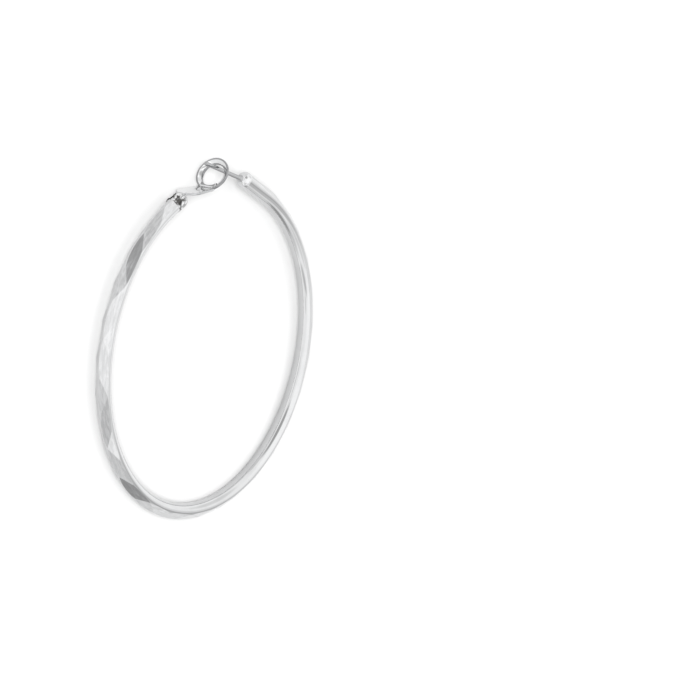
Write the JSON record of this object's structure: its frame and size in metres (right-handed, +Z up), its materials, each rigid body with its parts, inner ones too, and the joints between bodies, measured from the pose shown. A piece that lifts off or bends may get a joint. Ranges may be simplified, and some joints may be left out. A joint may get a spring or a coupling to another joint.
{
  "type": "hoop earring",
  "caption": "Round hollow-tube hoop earring with diamond-cut facets, a domed ear post and a hinged catch whose ring closes over the post.",
  "frame": {"origin": "on the floor, under the middle of the box of the earring as it lies on its side", "axes": "+Z up, along the hoop's own axis but for a lean of 1.65 degrees; +Y towards the gap with the ear post and catch; the hinge is on the -X side of the gap"},
  "size_m": [0.065, 0.0682, 0.0067],
  "materials": {
    "faceted_tube": "polished silver-coloured plating over brass tube",
    "ear_post": "polished silver-coloured plating",
    "hinge": "polished silver-coloured plating, a little duller in the joint",
    "catch": "polished silver-coloured plating"
  },
  "bodies": {
    "hoop": {"hoop_tube": "faceted_tube", "ear_post": "ear_post", "hinge_bracket": "hinge", "hinge_pin": "hinge"},
    "lever": {"clasp_lever": "catch"}
  },
  "joints": [
    {"name": "catch_hinge", "type": "hinge", "parent": "hoop", "child": "lever", "pos_m": [-0.01178, 0.0273, 0.00322], "axis": [0, -0.0289, 0.9996], "range_deg": [0, 75]}
  ]
}
